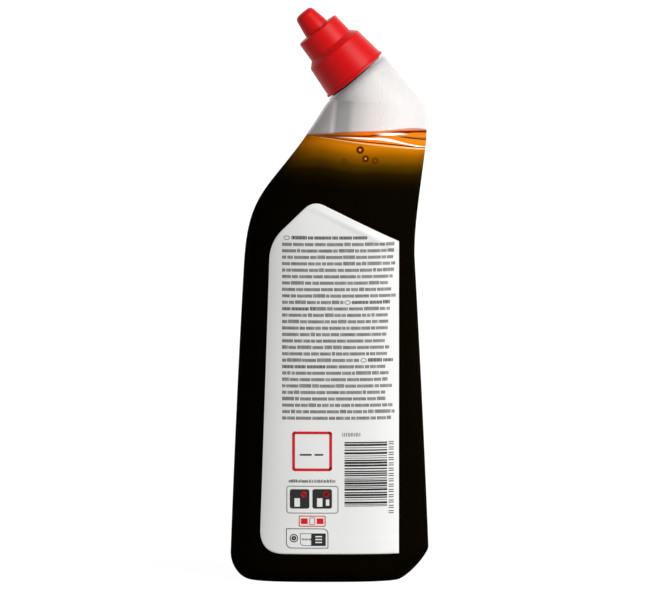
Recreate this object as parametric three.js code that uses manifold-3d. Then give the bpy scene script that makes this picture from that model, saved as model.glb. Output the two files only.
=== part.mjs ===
// Toilet cleaner bottle with a leaning neck, its filling, spout insert, cap and back label.
// Millimetres, +Z up. The origin is the middle of the base, and the label faces -Y.
import * as THREE from 'three';
import { mergeVertices } from 'three/addons/utils/BufferGeometryUtils.js';
import Module from 'manifold-3d';

// Bottle body: places of its left and right walls, seen from the label side
const footLeft = -48.2;
const footRight = 48.3;
const waistLeft = -41.2;
const waistRight = 41.0;
const waistHeight = 153;
const waistRightRise = 1;
const kneeRight = 46.9;
const kneeDrop = 11.7;
const kneeRadius = 27;
const halfDepth = 26.6;
const squareRatio = 2.8;
const shoulderStart = 162;
const waistHandle = 38.7;
const waistHandleRise = 2.5;
const neckHandle = 45;
const neckHandleFall = 25.5;
const kneeHandle = 15;
const rightHandle = 19;
const rightHandleFall = 0.9;
const faceHandle = 28;
const faceNeckHandle = 20;
const faceNeckFlare = 1.2;
const leftBowShare = 0.25;
const rightBowShare = 0.2;
const wall = 1.0;

// Base: rounded corners as height and reach, and the push-up inside the standing face
const leftCorner = { height: 12.5, reach: 9.5, fullRatio: 1.75 };
const rightCorner = { height: 15, reach: 14.5, fullRatio: 1.25 };
const faceCorner = { height: 9, reach: 8, fullRatio: 2 };
const baseThickness = 1.6;
const pushUp = 3;
const standingShare = 0.78;

// Neck column: a round tube that leans towards -X and meets the body in a level crease
const neckLean = THREE.MathUtils.degToRad(39.75);
const columnRadius = 17.3;
const columnTop = -1.4;
const columnRound = 2.4;
const creaseHeight = 231.2;
const creaseLand = 0.4;

// Neck finish, with heights along the leaning axis from the rim of the cap
const rimX = 12.1;
const rimRise = 11.4;
const stopRingTop = 0.6;
const stopLugHeight = 2.8;
const stopLugWidth = 1.4;
const stopLugStart = THREE.MathUtils.degToRad(78);
const stopLugEnd = THREE.MathUtils.degToRad(99);
const neckRadius = 9.9;
const threadDepth = 0.9;
const neckTop = 15.2;
const boreRadius = 8.0;
const lipBevel = 0.4;
const neckFloor = 1.2;

// Filling
const fillLevel = 212;
const clearance = 0.3;

// Cap, with heights from its rim
const rimFlangeRadius = 16.8;
const rimFlangeTop = 0.95;
const rimDrop = 0.25;
const skirtWall = 1.2;
const skirtBottomRadius = 16.15;
const skirtTopRadius = 14.6;
const skirtTop = 15.5;
const coneTop = 18.1;
const middleBottomRadius = 11.8;
const middleTopRadius = 11.1;
const middleTop = 28.2;
const nibBottomRadius = 6.35;
const nibTopRadius = 4.7;
const nibFlareTop = 30.3;
const nibRound = 2.3;
const capHeight = 38.9;
const capRoof = 1.3;
const threadSkirtWall = 1.0;
const threadSkirtBottom = 2.0;
const stopRibWidth = 1.1;
const stopRibGap = 0.7;
const stopRibReach = 0.95;
const sealingPinRadius = 1.2;
const sealingPinDepth = 2.1;

// Spout insert
const insertWall = 1.1;
const insertFlangeLip = 0.8;
const insertFlange = 1.2;
const insertPlugDepth = 7;
const insertSpace = 1.4;
const insertShoulderDrop = 3.1;
const spoutSpace = 0.95;
const spoutShoulder = 2.6;
const spoutDrop = 1.6;
const orificeLength = 3.5;

// Back label: its corners on the flat of the bottle
const labelThickness = 0.3;
const labelBottom = 14.4;
const labelLeftBottom = -33.2;
const labelLeftTop = -28.8;
const labelRight = 33.2;
const labelCorner = 11;
const labelKneeHeight = 164.1;
const labelKneeRound = 9;
const labelApexX = -7.8;
const labelApexHeight = 184.4;
const labelApexRound = 6;
const labelRightTop = 164.3;
const labelColumns = 18;
const labelRows = 16;

// Fineness of the faceted surfaces
const around = 40;
const roundSteps = 3;

const bottleMaterial = new THREE.MeshStandardMaterial({
  color: 0xe9edee, roughness: 0.08, metalness: 0, transparent: true, opacity: 0.35,
});
const liquidMaterial = new THREE.MeshStandardMaterial({ color: 0x2a1602, roughness: 0.1, metalness: 0 });
const capMaterial = new THREE.MeshStandardMaterial({ color: 0xc81419, roughness: 0.35, metalness: 0 });
const insertMaterial = new THREE.MeshStandardMaterial({ color: 0xf0efe9, roughness: 0.4, metalness: 0 });
const labelMaterial = new THREE.MeshStandardMaterial({ color: 0xf4f4f1, roughness: 0.55, metalness: 0 });

// Directions of the leaning neck: along its axis, and across it towards +X
const neckAxis = new THREE.Vector3(-Math.sin(neckLean), 0, Math.cos(neckLean));
const neckAcross = new THREE.Vector3(Math.cos(neckLean), 0, Math.sin(neckLean));
const rimZ = creaseHeight + rimRise;
const rimCentre = new THREE.Vector3(rimX, 0, rimZ);
const leaning = new THREE.Matrix4().makeRotationY(-neckLean).setPosition(rimCentre);
const kneeHeight = creaseHeight - kneeDrop;
const waistRightHeight = waistHeight + waistRightRise;

// Where the column's own ellipse lies in the crease plane
const creaseX = rimX - (creaseHeight - rimZ) * Math.tan(neckLean);
const creaseHalfWidth = columnRadius / Math.cos(neckLean);

// The curves hold the height as x and the place of the wall as y
const leftShoulder = new THREE.CubicBezierCurve(
  new THREE.Vector2(waistHeight, waistLeft),
  new THREE.Vector2(waistHeight + waistHandle, waistLeft + waistHandleRise),
  new THREE.Vector2(creaseHeight - neckHandle, creaseX - creaseHalfWidth - neckHandleFall),
  new THREE.Vector2(creaseHeight, creaseX - creaseHalfWidth + 1),
);
const rightShoulder = new THREE.CubicBezierCurve(
  new THREE.Vector2(waistRightHeight, waistRight),
  new THREE.Vector2(waistRightHeight + rightHandle, waistRight - rightHandleFall),
  new THREE.Vector2(kneeHeight - kneeHandle, kneeRight),
  new THREE.Vector2(kneeHeight, kneeRight),
);
const faceShoulder = new THREE.CubicBezierCurve(
  new THREE.Vector2(shoulderStart, halfDepth),
  new THREE.Vector2(shoulderStart + faceHandle, halfDepth),
  new THREE.Vector2(creaseHeight - faceNeckHandle, columnRadius + faceNeckFlare),
  new THREE.Vector2(creaseHeight, columnRadius),
);

function curveAt(curve, height) {
  let low = 0;
  let high = 1;
  for (let step = 0; step < 40; step++) {
    const middle = (low + high) / 2;
    if (curve.getPoint(middle).x < height) low = middle;
    else high = middle;
  }
  return curve.getPoint(high).y;
}

// How far a rounded base corner pulls the wall in at a height
function cornerInset(corner, height) {
  if (height >= corner.height) return 0;
  const drop = 1 - height / corner.height;
  return corner.reach * (1 - (1 - drop ** corner.fullRatio) ** (1 / corner.fullRatio));
}

function leftWall(height) {
  if (height > waistHeight) return curveAt(leftShoulder, height);
  const share = height / waistHeight;
  return THREE.MathUtils.lerp(footLeft, waistLeft, share * (1 - leftBowShare + leftBowShare * share));
}

function rightWall(height) {
  if (height > kneeHeight) {
    return kneeRight - kneeRadius + Math.sqrt(kneeRadius ** 2 - (height - kneeHeight) ** 2);
  }
  if (height > waistRightHeight) return curveAt(rightShoulder, height);
  const share = height / waistRightHeight;
  return THREE.MathUtils.lerp(footRight, waistRight, share * (1 - rightBowShare + rightBowShare * share));
}

// Level section of the body at a height, pulled in by an inset
function section(height, inset) {
  const left = leftWall(height) + cornerInset(leftCorner, height) + inset;
  const right = rightWall(height) - cornerInset(rightCorner, height) - inset;
  const face = height > shoulderStart ? curveAt(faceShoulder, height) : halfDepth;
  const blend = THREE.MathUtils.smoothstep(height, shoulderStart, creaseHeight);
  return {
    x: (left + right) / 2,
    halfWidth: (right - left) / 2,
    halfDepth: face - cornerInset(faceCorner, height) - inset,
    power: THREE.MathUtils.lerp(squareRatio, 2, blend),
  };
}

function sectionRing(height, inset, share = 1, ringHeight = height) {
  const { x, halfWidth, halfDepth: depth, power } = section(height, inset);
  return Array.from({ length: around }, (_, index) => {
    const angle = (index / around) * 2 * Math.PI;
    const cos = Math.cos(angle);
    const sin = Math.sin(angle);
    return new THREE.Vector3(
      x + share * halfWidth * Math.sign(cos) * Math.abs(cos) ** (2 / power),
      share * depth * Math.sign(sin) * Math.abs(sin) ** (2 / power),
      ringHeight,
    );
  });
}

// Ring on the leaning axis; along gives each point's height on the axis from its angle
function neckRing(radius, along) {
  return Array.from({ length: around }, (_, index) => {
    const angle = (index / around) * 2 * Math.PI;
    return rimCentre.clone()
      .addScaledVector(neckAcross, radius * Math.cos(angle))
      .addScaledVector(neckAxis, typeof along === 'number' ? along : along(angle))
      .add(new THREE.Vector3(0, radius * Math.sin(angle), 0));
  });
}

// Height on the axis where a tube of this radius meets the level crease plane
function creaseAlong(radius, top) {
  return (angle) => {
    const level = (creaseHeight - rimZ - radius * Math.cos(angle) * Math.sin(neckLean)) / Math.cos(neckLean);
    return Math.min(level, top - creaseLand);
  };
}

const wasm = await Module();
wasm.setup();

function solid(geometry) {
  const bare = geometry.clone();
  bare.deleteAttribute('normal');
  bare.deleteAttribute('uv');
  const merged = mergeVertices(bare, 1e-4);
  return new wasm.Manifold(new wasm.Mesh({
    numProp: 3,
    vertProperties: Float32Array.from(merged.attributes.position.array),
    triVerts: Uint32Array.from(merged.index.array),
  }));
}

function joined(body, additions) {
  const mesh = additions.reduce((whole, addition) => whole.add(solid(addition)), solid(body)).getMesh();
  const geometry = new THREE.BufferGeometry();
  geometry.setAttribute('position', new THREE.BufferAttribute(mesh.vertProperties, 3));
  geometry.setIndex(new THREE.BufferAttribute(mesh.triVerts, 1));
  geometry.computeVertexNormals();
  return geometry;
}

// Block that follows a ring round the neck axis, between two angles, radii and heights
function ringBlock(inside, outside, start, end, low, high) {
  const shape = new THREE.Shape();
  shape.absarc(0, 0, outside, start, end, false);
  shape.absarc(0, 0, inside, end, start, true);
  const options = { depth: high - low, bevelEnabled: false, curveSegments: 6 };
  return new THREE.ExtrudeGeometry(shape, options).translate(0, 0, low);
}

// The same block on both sides of the neck
function bothSides(makeBlock) {
  return [0, Math.PI].map((side) => makeBlock().rotateZ(side));
}

// Closed skin over a stack of rings, with a fan to a centre point at each end
function skin(rings, startCentre, endCentre) {
  const points = [startCentre, ...rings.flat(), endCentre];
  const index = [];
  const at = (ring, place) => 1 + ring * around + (place % around);
  for (let place = 0; place < around; place++) {
    index.push(0, at(0, place + 1), at(0, place));
    for (let ring = 0; ring < rings.length - 1; ring++) {
      index.push(at(ring, place), at(ring, place + 1), at(ring + 1, place + 1));
      index.push(at(ring, place), at(ring + 1, place + 1), at(ring + 1, place));
    }
    const last = rings.length - 1;
    index.push(points.length - 1, at(last, place), at(last, place + 1));
  }
  const geometry = new THREE.BufferGeometry().setFromPoints(points);
  geometry.setIndex(index);
  geometry.computeVertexNormals();
  return geometry;
}

// Heights of the level sections: close in the base corner, wide on the straight body
const cornerTop = Math.max(leftCorner.height, rightCorner.height, faceCorner.height);
const cornerSteps = 7;
const bodySteps = 6;
const shoulderSteps = 10;
const lastSectionDrop = 5.7;
const lastSection = creaseHeight - lastSectionDrop;
const steps = (count, height) => Array.from({ length: count }, (_, step) => height((step + 1) / count));
const sectionHeights = [
  ...steps(cornerSteps, (share) => cornerTop * share ** 2),
  ...steps(bodySteps, (share) => THREE.MathUtils.lerp(cornerTop, shoulderStart, share)),
  ...steps(shoulderSteps, (share) => THREE.MathUtils.lerp(shoulderStart, lastSection, share)),
];

// Base rings from the middle outwards: the push-up and the standing face
function baseRings(inset, thickness) {
  const rise = (share) => thickness + pushUp * (1 - (share / standingShare) ** 2);
  return [
    sectionRing(thickness, inset, 0.4, rise(0.4)),
    sectionRing(thickness, inset, standingShare, thickness),
    sectionRing(thickness, inset),
  ];
}

// The stop ring, thread skirt and spout insert follow the cap and the neck that they fit
const stopRingRadius = skirtBottomRadius - skirtWall - clearance;
const threadSkirtRadius = neckRadius + threadDepth + clearance;
const spoutTop = capHeight - capRoof - spoutDrop;
const insertSeat = neckTop + clearance;
const insertFlangeTop = insertSeat + insertFlange;
const capSeat = insertFlangeTop + clearance;
const capSeatDepth = 0.8;

// Squeeze-and-turn stops: lugs on the neck's ring, and ribs in the skirt that turn against them
const skirtInside = (height) => THREE.MathUtils.lerp(
  skirtBottomRadius - skirtWall, skirtTopRadius - skirtWall, height / (skirtTop - capRoof),
);
const stopLugTop = stopRingTop + stopLugHeight;
const stopLugOutside = skirtInside(stopLugTop) - clearance;

function makeBottle() {
  const filletRing = (turn) => {
    const size = (angle) => Math.min(columnRound, columnTop - creaseAlong(columnRadius, columnTop)(angle));
    return Array.from({ length: around }, (_, index) => {
      const angle = (index / around) * 2 * Math.PI;
      const radius = columnRadius - size(angle) * (1 - Math.cos(turn));
      const along = columnTop - size(angle) * (1 - Math.sin(turn));
      return neckRing(radius, along)[index];
    });
  };
  const fillet = steps(roundSteps, (share) => filletRing(share * Math.PI / 2));
  const outer = [
    ...baseRings(0, 0),
    ...sectionHeights.map((height) => sectionRing(height, 0)),
    neckRing(columnRadius, creaseAlong(columnRadius, columnTop)),
    filletRing(0),
    ...fillet,
    neckRing(stopRingRadius, columnTop),
    neckRing(stopRingRadius, stopRingTop),
    neckRing(neckRadius, stopRingTop),
    neckRing(neckRadius, neckTop - lipBevel),
    neckRing(neckRadius - lipBevel, neckTop),
    neckRing(boreRadius, neckTop),
  ];
  const insideTop = columnTop - neckFloor;
  const insideRadius = columnRadius - wall;
  const inner = [
    neckRing(boreRadius, insideTop),
    neckRing(insideRadius - lipBevel, insideTop),
    neckRing(insideRadius, creaseAlong(insideRadius, insideTop)),
    ...sectionHeights.filter((height) => height > baseThickness).reverse()
      .map((height) => sectionRing(height, wall)),
    ...baseRings(wall, baseThickness).reverse(),
  ];
  const shell = skin(
    [...outer, ...inner],
    new THREE.Vector3(section(0, 0).x, 0, pushUp),
    new THREE.Vector3(section(baseThickness, wall).x, 0, pushUp + baseThickness),
  );
  const lugs = bothSides(() => ringBlock(
    stopLugOutside - stopLugWidth, stopLugOutside, stopLugStart, stopLugEnd, columnTop, stopLugTop,
  ));
  return joined(shell, lugs.map((lug) => lug.applyMatrix4(leaning)));
}

function makeLiquid() {
  const inset = wall + clearance;
  const floor = baseThickness + clearance;
  const rings = [
    ...baseRings(inset, floor),
    ...sectionHeights.filter((height) => height > floor && height < fillLevel)
      .map((height) => sectionRing(height, inset)),
    sectionRing(fillLevel, inset),
  ];
  return skin(
    rings,
    new THREE.Vector3(section(floor, inset).x, 0, pushUp + floor),
    new THREE.Vector3(section(fillLevel, inset).x, 0, fillLevel),
  );
}

// Profile from corners [radius, height, round]; a round corner becomes a short curve
function profile(corners, closed) {
  const path = new THREE.Path();
  const count = corners.length;
  corners.forEach(([radius, height, round], place) => {
    const here = new THREE.Vector2(radius, height);
    if (!round) {
      if (place === 0) path.moveTo(radius, height);
      else path.lineTo(radius, height);
      return;
    }
    const before = new THREE.Vector2(...corners[(place + count - 1) % count]);
    const after = new THREE.Vector2(...corners[(place + 1) % count]);
    const start = here.clone().add(before.sub(here).setLength(round));
    const end = here.clone().add(after.sub(here).setLength(round));
    path.lineTo(start.x, start.y);
    path.quadraticCurveTo(radius, height, end.x, end.y);
  });
  const points = path.getPoints(roundSteps);
  if (closed) points.push(points[0].clone());
  return points;
}

function turned(points) {
  return new THREE.LatheGeometry(points, around).rotateX(Math.PI / 2);
}

function makeCap() {
  const threadSkirtOutside = threadSkirtRadius + threadSkirtWall;
  const middleInside = middleBottomRadius - skirtWall;
  const nibInside = nibBottomRadius - skirtWall;
  const body = turned(profile([
    [0, spoutTop - sealingPinDepth],
    [sealingPinRadius, spoutTop - sealingPinDepth, 0.4],
    [sealingPinRadius, capHeight - capRoof],
    [nibTopRadius - skirtWall, capHeight - capRoof, 0.8],
    [nibInside, nibFlareTop],
    [nibInside, middleTop - capRoof],
    [middleTopRadius - skirtWall, middleTop - capRoof, 0.8],
    [middleInside, capSeat + capSeatDepth],
    [middleInside, capSeat],
    [threadSkirtRadius, capSeat],
    [threadSkirtRadius, threadSkirtBottom],
    [threadSkirtOutside, threadSkirtBottom],
    [threadSkirtOutside, skirtTop - capRoof],
    [skirtTopRadius - skirtWall, skirtTop - capRoof],
    [skirtBottomRadius - skirtWall, -rimDrop],
    [rimFlangeRadius, -rimDrop, 0.3],
    [rimFlangeRadius, rimFlangeTop, 0.3],
    [skirtBottomRadius, rimFlangeTop],
    [skirtTopRadius, skirtTop, 1.0],
    [middleBottomRadius, coneTop, 0.6],
    [middleTopRadius, middleTop, 1.4],
    [nibBottomRadius, middleTop],
    [nibBottomRadius - 0.1, nibFlareTop, 1.0],
    [nibTopRadius, capHeight, nibRound],
    [0, capHeight],
  ]));
  const ribStart = stopLugEnd + stopRibGap / stopLugOutside;
  const ribs = bothSides(() => ringBlock(
    skirtInside(stopLugTop) - stopRibReach, skirtBottomRadius - skirtWall / 2,
    ribStart, ribStart + stopRibWidth / stopLugOutside, stopRingTop + clearance, stopLugTop,
  ));
  return joined(body, ribs);
}

function makeInsert() {
  const plugRadius = boreRadius - clearance;
  const insertFlangeRadius = neckRadius + insertFlangeLip;
  const insertBottomRadius = middleBottomRadius - skirtWall - insertSpace;
  const insertTopRadius = middleTopRadius - skirtWall - insertSpace;
  const insertShoulder = middleTop - capRoof - insertShoulderDrop;
  const spoutBottomRadius = nibBottomRadius - skirtWall - spoutSpace;
  const spoutTopRadius = nibTopRadius - skirtWall - spoutSpace;
  const orificeRadius = sealingPinRadius + clearance;
  return turned(profile([
    [plugRadius - insertWall, neckTop - insertPlugDepth],
    [plugRadius, neckTop - insertPlugDepth],
    [plugRadius, insertSeat],
    [insertFlangeRadius, insertSeat],
    [insertFlangeRadius, insertFlangeTop],
    [insertBottomRadius, insertFlangeTop],
    [insertTopRadius, insertShoulder, 1.0],
    [spoutBottomRadius, insertShoulder + spoutShoulder, 0.8],
    [spoutTopRadius, spoutTop, 0.5],
    [orificeRadius, spoutTop],
    [orificeRadius, spoutTop - orificeLength],
    [spoutBottomRadius - insertWall, insertShoulder + spoutShoulder - insertWall],
    [insertTopRadius - insertWall, insertShoulder - insertWall, 1.0],
    [plugRadius - insertWall, insertSeat],
  ], true));
}

// Depth of the bottle's label side at a place on it
function faceDepth(x, height) {
  const { x: centre, halfWidth, halfDepth: depth, power } = section(height, 0);
  const share = Math.min(Math.abs(x - centre) / halfWidth, 1);
  return -depth * (1 - share ** power) ** (1 / power);
}

function makeLabel() {
  const columns = labelColumns;
  const rows = labelRows;
  const knee = new THREE.Vector2(labelLeftTop, labelKneeHeight);
  const apex = new THREE.Vector2(labelApexX, labelApexHeight);
  const rightTop = new THREE.Vector2(labelRight, labelRightTop);
  const towards = (corner, other, round) => other.clone().sub(corner).setLength(round).add(corner);
  const kneeEnd = towards(knee, apex, labelKneeRound);
  const apexStart = towards(apex, knee, labelApexRound);
  const apexEnd = towards(apex, rightTop, labelApexRound);
  const top = new THREE.Path();
  top.moveTo(labelLeftTop, labelKneeHeight - labelKneeRound);
  top.quadraticCurveTo(knee.x, knee.y, kneeEnd.x, kneeEnd.y);
  top.lineTo(apexStart.x, apexStart.y);
  top.quadraticCurveTo(apex.x, apex.y, apexEnd.x, apexEnd.y);
  top.lineTo(rightTop.x, rightTop.y);
  const bottom = new THREE.Path();
  bottom.moveTo(labelLeftBottom, labelBottom + labelCorner);
  bottom.quadraticCurveTo(labelLeftBottom, labelBottom, labelLeftBottom + labelCorner, labelBottom);
  bottom.lineTo(labelRight, labelBottom);
  const topPoints = top.getSpacedPoints(columns);
  const bottomPoints = bottom.getSpacedPoints(columns);
  const points = [];
  for (const offset of [clearance + labelThickness, clearance]) {
    for (let column = 0; column <= columns; column++) {
      for (let row = 0; row <= rows; row++) {
        const place = bottomPoints[column].clone().lerp(topPoints[column], row / rows);
        points.push(new THREE.Vector3(place.x, faceDepth(place.x, place.y) - offset, place.y));
      }
    }
  }
  const side = (columns + 1) * (rows + 1);
  const at = (layer, column, row) => layer * side + column * (rows + 1) + row;
  const index = [];
  const quad = (a, b, c, d) => index.push(a, b, c, a, c, d);
  for (let column = 0; column < columns; column++) {
    for (let row = 0; row < rows; row++) {
      quad(at(0, column, row), at(0, column + 1, row), at(0, column + 1, row + 1), at(0, column, row + 1));
      quad(at(1, column, row), at(1, column, row + 1), at(1, column + 1, row + 1), at(1, column + 1, row));
    }
    quad(at(1, column, 0), at(1, column + 1, 0), at(0, column + 1, 0), at(0, column, 0));
    quad(at(0, column, rows), at(0, column + 1, rows), at(1, column + 1, rows), at(1, column, rows));
  }
  for (let row = 0; row < rows; row++) {
    quad(at(0, 0, row), at(0, 0, row + 1), at(1, 0, row + 1), at(1, 0, row));
    quad(at(1, columns, row), at(1, columns, row + 1), at(0, columns, row + 1), at(0, columns, row));
  }
  const geometry = new THREE.BufferGeometry().setFromPoints(points);
  geometry.setIndex(index);
  geometry.computeVertexNormals();
  return geometry;
}

function named(name, geometry, material) {
  const mesh = new THREE.Mesh(geometry, material);
  mesh.name = name;
  return mesh;
}

// The cap and the insert are modelled upright and lean with the neck
const closure = new THREE.Group();
closure.applyMatrix4(leaning);
closure.add(named('nozzle_insert', makeInsert(), insertMaterial));
closure.add(named('cap', makeCap(), capMaterial));

const group = new THREE.Group();
group.add(named('bottle', makeBottle(), bottleMaterial));
group.add(named('cleaning_liquid', makeLiquid(), liquidMaterial));
group.add(named('back_label', makeLabel(), labelMaterial));
group.add(closure);

export default group;
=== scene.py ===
import math
import random

import bpy
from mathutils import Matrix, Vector


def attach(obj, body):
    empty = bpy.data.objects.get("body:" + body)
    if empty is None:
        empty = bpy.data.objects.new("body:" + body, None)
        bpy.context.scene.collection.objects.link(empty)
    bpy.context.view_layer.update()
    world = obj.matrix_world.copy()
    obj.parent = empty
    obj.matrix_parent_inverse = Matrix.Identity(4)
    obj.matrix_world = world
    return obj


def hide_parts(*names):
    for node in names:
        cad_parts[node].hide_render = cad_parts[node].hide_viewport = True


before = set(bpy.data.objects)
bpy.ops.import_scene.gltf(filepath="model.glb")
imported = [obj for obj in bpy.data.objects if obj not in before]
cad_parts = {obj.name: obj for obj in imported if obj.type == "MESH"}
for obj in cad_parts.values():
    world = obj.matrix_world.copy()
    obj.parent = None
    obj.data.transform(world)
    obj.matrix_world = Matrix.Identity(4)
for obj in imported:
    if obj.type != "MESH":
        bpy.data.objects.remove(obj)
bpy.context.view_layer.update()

# The view is the photo's: the label side seen square on, from far off and a little above.
# One pixel of the photo is 0.48 mm on the bottle's middle plane.
mm = 0.001
photo_width = 660
pixel = 0.48 * mm
camera_distance = 6.0
camera_rise = math.radians(5.5)
look_at = Vector((0.2, 0, 136.5)) * mm

camera = bpy.data.objects.new("camera", bpy.data.cameras.new("camera"))
camera.data.lens = camera.data.sensor_width * camera_distance / (photo_width * pixel)
towards_camera = Vector((0, -math.cos(camera_rise), math.sin(camera_rise)))
camera.location = look_at + towards_camera * camera_distance
camera.rotation_mode = "QUATERNION"
camera.rotation_quaternion = (-towards_camera).to_track_quat("-Z", "Y")
camera.data.clip_end = 100
bpy.context.scene.collection.objects.link(camera)
bpy.context.scene.camera = camera
bpy.context.scene.view_settings.view_transform = "Standard"


# A finish is built from node values: a sum on a value adds a Math node, and node() adds any other.
class Value:
    def __init__(self, tree, socket):
        self.tree = tree
        self.socket = socket

    @classmethod
    def node(cls, tree, kind, settings=None, inputs=None, output=0):
        made = tree.nodes.new("ShaderNode" + kind)
        for name, setting in (settings or {}).items():
            if name == "stops":
                elements = made.color_ramp.elements
                while len(elements) < len(setting):
                    elements.new(1)
                for element, (place, colour) in zip(elements, setting):
                    element.position = place
                    element.color = colour
            else:
                setattr(made, name, setting)
        for name, value in (inputs or {}).items():
            if isinstance(value, Value):
                tree.links.new(value.socket, made.inputs[name])
            else:
                made.inputs[name].default_value = value
        return cls(tree, made.outputs[output]) if made.outputs else made

    def maths(self, operation, *values):
        inputs = dict(enumerate(values))
        return self.node(self.tree, "Math", {"operation": operation}, inputs)

    def __add__(self, other):
        return self.maths("ADD", self, other)

    __radd__ = __add__

    def __sub__(self, other):
        return self.maths("SUBTRACT", self, other)

    def __rsub__(self, other):
        return self.maths("SUBTRACT", other, self)

    def __mul__(self, other):
        return self.maths("MULTIPLY", self, other)

    __rmul__ = __mul__

    def __truediv__(self, other):
        return self.maths("DIVIDE", self, other)

    def __pow__(self, other):
        return self.maths("POWER", self, other)

    def smooth(self, low, high):
        inputs = {"Value": self, "From Min": low, "From Max": high}
        return self.node(self.tree, "MapRange", {"interpolation_type": "SMOOTHSTEP"}, inputs)

    def blend(self, start, end):
        """Colour that goes from start to end as this value goes from 0 to 1."""
        return self.node(self.tree, "Mix", {"data_type": "RGBA"}, {0: self, 6: start, 7: end}, 2)


def srgb(red, green, blue):
    """Linear colour for a colour picked in 0 to 255."""
    parts = [part / 255 for part in (red, green, blue)]
    linear = [part / 12.92 if part < 0.04045 else ((part + 0.055) / 1.055) ** 2.4 for part in parts]
    return (*linear, 1)


def new_finish(name):
    material = bpy.data.materials.new(name)
    material.use_nodes = True
    material.node_tree.nodes.clear()
    return material, material.node_tree


def place_on_object(tree):
    """x, y and z of the surface point in the bottle's own frame, in metres."""
    where = Value.node(tree, "TexCoord", output="Object")
    parts = tree.nodes.new("ShaderNodeSeparateXYZ")
    tree.links.new(where.socket, parts.inputs[0])
    return where, *[Value(tree, parts.outputs[axis]) for axis in range(3)]


def surface(tree, inputs):
    shader = Value.node(tree, "BsdfPrincipled", inputs=inputs)
    Value.node(tree, "OutputMaterial", inputs={"Surface": shader})
    return shader


# The studio: a wide pale floor that keeps a faint shadow, a white surround, and a broad soft main
# light from the right, as on the photo's cap and label. The floor's glow reaches camera, glossy and transmission
# rays only.
floor_half = 9.0
floor_paper_share = 0.3
paper_grey = 0.55
floor_glow = 1.38
ambient = 0.11


def backdrop_rays(tree):
    path = tree.nodes.new("ShaderNodeLightPath")
    kinds = ("Is Camera Ray", "Is Glossy Ray", "Is Transmission Ray")
    rays = [Value(tree, path.outputs[kind]) for kind in kinds]
    return rays[0].maths("MAXIMUM", rays[0], rays[1].maths("MAXIMUM", rays[1], rays[2]))


floor_mesh = bpy.data.meshes.new("floor")
floor_corners = [(x * floor_half, y * floor_half, 0) for x, y in ((-1, -1), (1, -1), (1, 1), (-1, 1))]
floor_mesh.from_pydata(floor_corners, [], [(0, 1, 2, 3)])
floor = bpy.data.objects.new("floor", floor_mesh)
bpy.context.scene.collection.objects.link(floor)
paper, tree = new_finish("white_paper")
paper_shade = Value.node(tree, "BsdfDiffuse", inputs={"Color": (paper_grey, paper_grey, paper_grey, 1)})
paper_glow = Value.node(tree, "Emission", inputs={"Color": (1, 1, 1, 1), "Strength": floor_glow})
glow_share = backdrop_rays(tree) * (1 - floor_paper_share)
paper_mix = Value.node(tree, "MixShader", inputs={0: glow_share, 1: paper_shade, 2: paper_glow})
Value.node(tree, "OutputMaterial", inputs={"Surface": paper_mix})
floor_mesh.materials.append(paper)

world = bpy.data.worlds.new("studio")
bpy.context.scene.world = world
world.use_nodes = True
tree = world.node_tree
tree.nodes.clear()
white = backdrop_rays(tree) * (1 - ambient) + ambient
room = Value.node(tree, "Background", inputs={"Color": (1, 1, 1, 1), "Strength": white})
Value.node(tree, "OutputWorld", inputs={"Surface": room})

key = bpy.data.objects.new("key", bpy.data.lights.new("key", "SUN"))
key.data.energy = 3.25
key.data.angle = math.radians(34)
key.rotation_mode = "QUATERNION"
key.rotation_quaternion = Vector((-0.662, 0.596, -0.454)).to_track_quat("-Z", "Y")
bpy.context.scene.collection.objects.link(key)
lamps = [
    ("fill", (-1.6, -1.5, 0.6), 1.2, 2.9),
    ("back", (0.5, 1.9, 0.9), 1.2, 5),
]
for name, place, size, power in lamps:
    lamp = bpy.data.objects.new(name, bpy.data.lights.new(name, "AREA"))
    lamp.data.size = size
    lamp.data.energy = power
    lamp.location = place
    lamp.rotation_mode = "QUATERNION"
    lamp.rotation_quaternion = (look_at - lamp.location).to_track_quat("-Z", "Y")
    bpy.context.scene.collection.objects.link(lamp)

# The bottle is one blow-moulded shell of clear PET: an oval body with a waist, a leaning round
# neck column that meets it in a level crease, and the moulded screw neck under the cap.
foot_left, foot_right = -48.2, 48.3
waist_left, waist_right = -41.2, 41.0
waist_left_height, waist_right_height = 153, 154
knee_right, knee_height, knee_radius = 46.9, 219.5, 27
half_depth, boxiness, shoulder_start = 26.6, 2.8, 162
wall = 1.0
left_corner, right_corner, face_corner = (12.5, 9.5, 1.75), (15, 14.5, 1.25), (9, 8, 2)
base_thickness, push_up, standing_share = 1.6, 3, 0.78
neck_lean = math.radians(39.75)
column_radius, column_top, column_round = 17.3, -1.4, 2.4
crease_height, crease_land = 231.2, 0.4
rim_x, rim_z = 12.1, 242.6
stop_ring_radius, stop_ring_top, stop_ring_soft = 14.65, 0.6, 0.3
neck_radius, neck_top, bore_radius = 9.9, 15.2, 8.0
lip_round, neck_floor, neck_foot_soft = 0.5, 1.2, 0.4
band_rise, band_left, band_length = 3.8, -8.4, 54.4
seam_proud = 0.1
fill_level = 212
around = 192

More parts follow.
